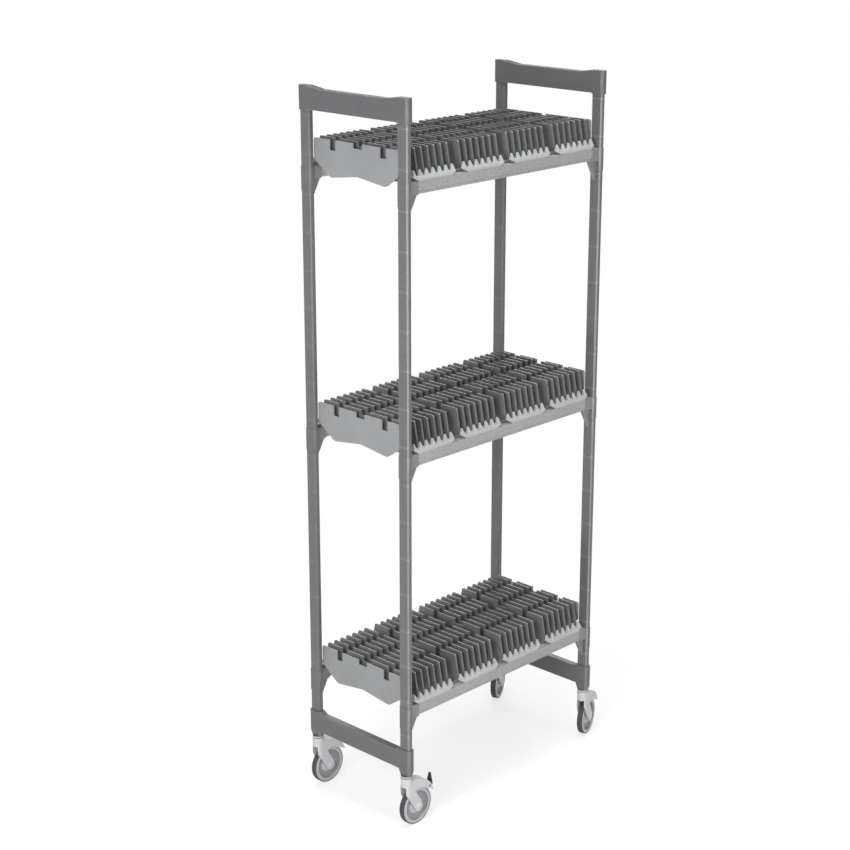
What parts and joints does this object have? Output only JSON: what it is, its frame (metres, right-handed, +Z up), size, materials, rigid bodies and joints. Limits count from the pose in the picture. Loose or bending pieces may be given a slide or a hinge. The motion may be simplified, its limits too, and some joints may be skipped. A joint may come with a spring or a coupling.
{
  "type": "plate rack",
  "caption": "Tall mobile rack of grey plastic with slotted cradles on its tiers that hold plates and trays upright to dry, on swivel casters.",
  "frame": {"origin": "on the floor, midway between the four posts", "axes": "+Z up, +X along the long side, the front at -Y"},
  "size_m": [0.8284, 0.4074, 1.905],
  "materials": {
    "post_plastic": "fine moulded grain",
    "core_steel": "plain",
    "end_bar_plastic": "fine moulded grain",
    "beam_plastic": "speckled",
    "bracket_plastic": "fine moulded grain",
    "cradle_plastic": "smooth satin",
    "fin_plastic": "fine moulded grain",
    "caster_steel": "zinc plated",
    "fork_plastic": "satin",
    "wheel_plastic": "satin",
    "tyre_rubber": "matte",
    "pedal_plastic": "satin"
  },
  "bodies": {
    "frame": {"post_rear_left": "post_plastic", "post_front_left": "post_plastic", "post_front_right": "post_plastic", "post_rear_right": "post_plastic", "post_cores": "core_steel", "top_end_bar_left": "end_bar_plastic", "bottom_end_bar_left": "end_bar_plastic", "top_end_bar_right": "end_bar_plastic", "bottom_end_bar_right": "end_bar_plastic", "bottom_front_beam": "beam_plastic", "bottom_rear_beam": "beam_plastic", "middle_front_beam": "beam_plastic", "middle_rear_beam": "beam_plastic", "top_front_beam": "beam_plastic", "top_rear_beam": "beam_plastic", "post_brackets": "bracket_plastic", "bottom_cradle_base_1": "cradle_plastic", "bottom_cradle_fins_1": "fin_plastic", "bottom_cradle_base_2": "cradle_plastic", "bottom_cradle_fins_2": "fin_plastic", "bottom_cradle_base_3": "cradle_plastic", "bottom_cradle_fins_3": "fin_plastic", "bottom_cradle_base_4": "cradle_plastic", "bottom_cradle_fins_4": "fin_plastic", "middle_cradle_base_1": "cradle_plastic", "middle_cradle_fins_1": "fin_plastic", "middle_cradle_base_2": "cradle_plastic", "middle_cradle_fins_2": "fin_plastic", "middle_cradle_base_3": "cradle_plastic", "middle_cradle_fins_3": "fin_plastic", "middle_cradle_base_4": "cradle_plastic", "middle_cradle_fins_4": "fin_plastic", "top_cradle_base_1": "cradle_plastic", "top_cradle_fins_1": "fin_plastic", "top_cradle_base_2": "cradle_plastic", "top_cradle_fins_2": "fin_plastic", "top_cradle_base_3": "cradle_plastic", "top_cradle_fins_3": "fin_plastic", "top_cradle_base_4": "cradle_plastic", "top_cradle_fins_4": "fin_plastic", "cradle_end_walls": "cradle_plastic", "caster_stems": "caster_steel"},
    "caster_rear_left": {"fork_rear_left": "fork_plastic", "axle_rear_left": "caster_steel"},
    "rolling_wheel_rear_left": {"wheel_rear_left": "wheel_plastic", "tyre_rear_left": "tyre_rubber"},
    "caster_front_left": {"fork_front_left": "fork_plastic", "axle_front_left": "caster_steel"},
    "rolling_wheel_front_left": {"wheel_front_left": "wheel_plastic", "tyre_front_left": "tyre_rubber"},
    "brake_front_left": {"brake_pedal_front_left": "pedal_plastic"},
    "caster_front_right": {"fork_front_right": "fork_plastic", "axle_front_right": "caster_steel"},
    "rolling_wheel_front_right": {"wheel_front_right": "wheel_plastic", "tyre_front_right": "tyre_rubber"},
    "caster_rear_right": {"fork_rear_right": "fork_plastic", "axle_rear_right": "caster_steel"},
    "rolling_wheel_rear_right": {"wheel_rear_right": "wheel_plastic", "tyre_rear_right": "tyre_rubber"},
    "brake_rear_right": {"brake_pedal_rear_right": "pedal_plastic"}
  },
  "joints": [
    {"name": "swivel_rear_left", "type": "hinge", "parent": "frame", "child": "caster_rear_left", "pos_m": [-0.361, 0.168, 0.13], "axis": [0, 0, 1], "continuous": true},
    {"name": "roll_rear_left", "type": "hinge", "parent": "caster_rear_left", "child": "rolling_wheel_rear_left", "pos_m": [-0.328, 0.168, 0.052], "axis": [0, 1, 0], "continuous": true},
    {"name": "swivel_front_left", "type": "hinge", "parent": "frame", "child": "caster_front_left", "pos_m": [-0.361, -0.168, 0.13], "axis": [0, 0, 1], "continuous": true},
    {"name": "roll_front_left", "type": "hinge", "parent": "caster_front_left", "child": "rolling_wheel_front_left", "pos_m": [-0.328, -0.168, 0.052], "axis": [0, 1, 0], "continuous": true},
    {"name": "brake_front_left", "type": "hinge", "parent": "caster_front_left", "child": "brake_front_left", "pos_m": [-0.287, -0.168, 0.096], "axis": [0, 1, 0], "range_deg": [0, 12]},
    {"name": "swivel_front_right", "type": "hinge", "parent": "frame", "child": "caster_front_right", "pos_m": [0.361, -0.168, 0.13], "axis": [0, 0, 1], "continuous": true},
    {"name": "roll_front_right", "type": "hinge", "parent": "caster_front_right", "child": "rolling_wheel_front_right", "pos_m": [0.39238, -0.1578, 0.052], "axis": [-0.309, 0.9511, 0], "continuous": true},
    {"name": "swivel_rear_right", "type": "hinge", "parent": "frame", "child": "caster_rear_right", "pos_m": [0.361, 0.168, 0.13], "axis": [0, 0, 1], "continuous": true},
    {"name": "roll_rear_right", "type": "hinge", "parent": "caster_rear_right", "child": "rolling_wheel_rear_right", "pos_m": [0.39091, 0.18195, 0.052], "axis": [-0.4226, 0.9063, 0], "continuous": true},
    {"name": "brake_rear_right", "type": "hinge", "parent": "caster_rear_right", "child": "brake_rear_right", "pos_m": [0.42807, 0.19927, 0.096], "axis": [-0.4226, 0.9063, 0], "range_deg": [0, 12]}
  ]
}
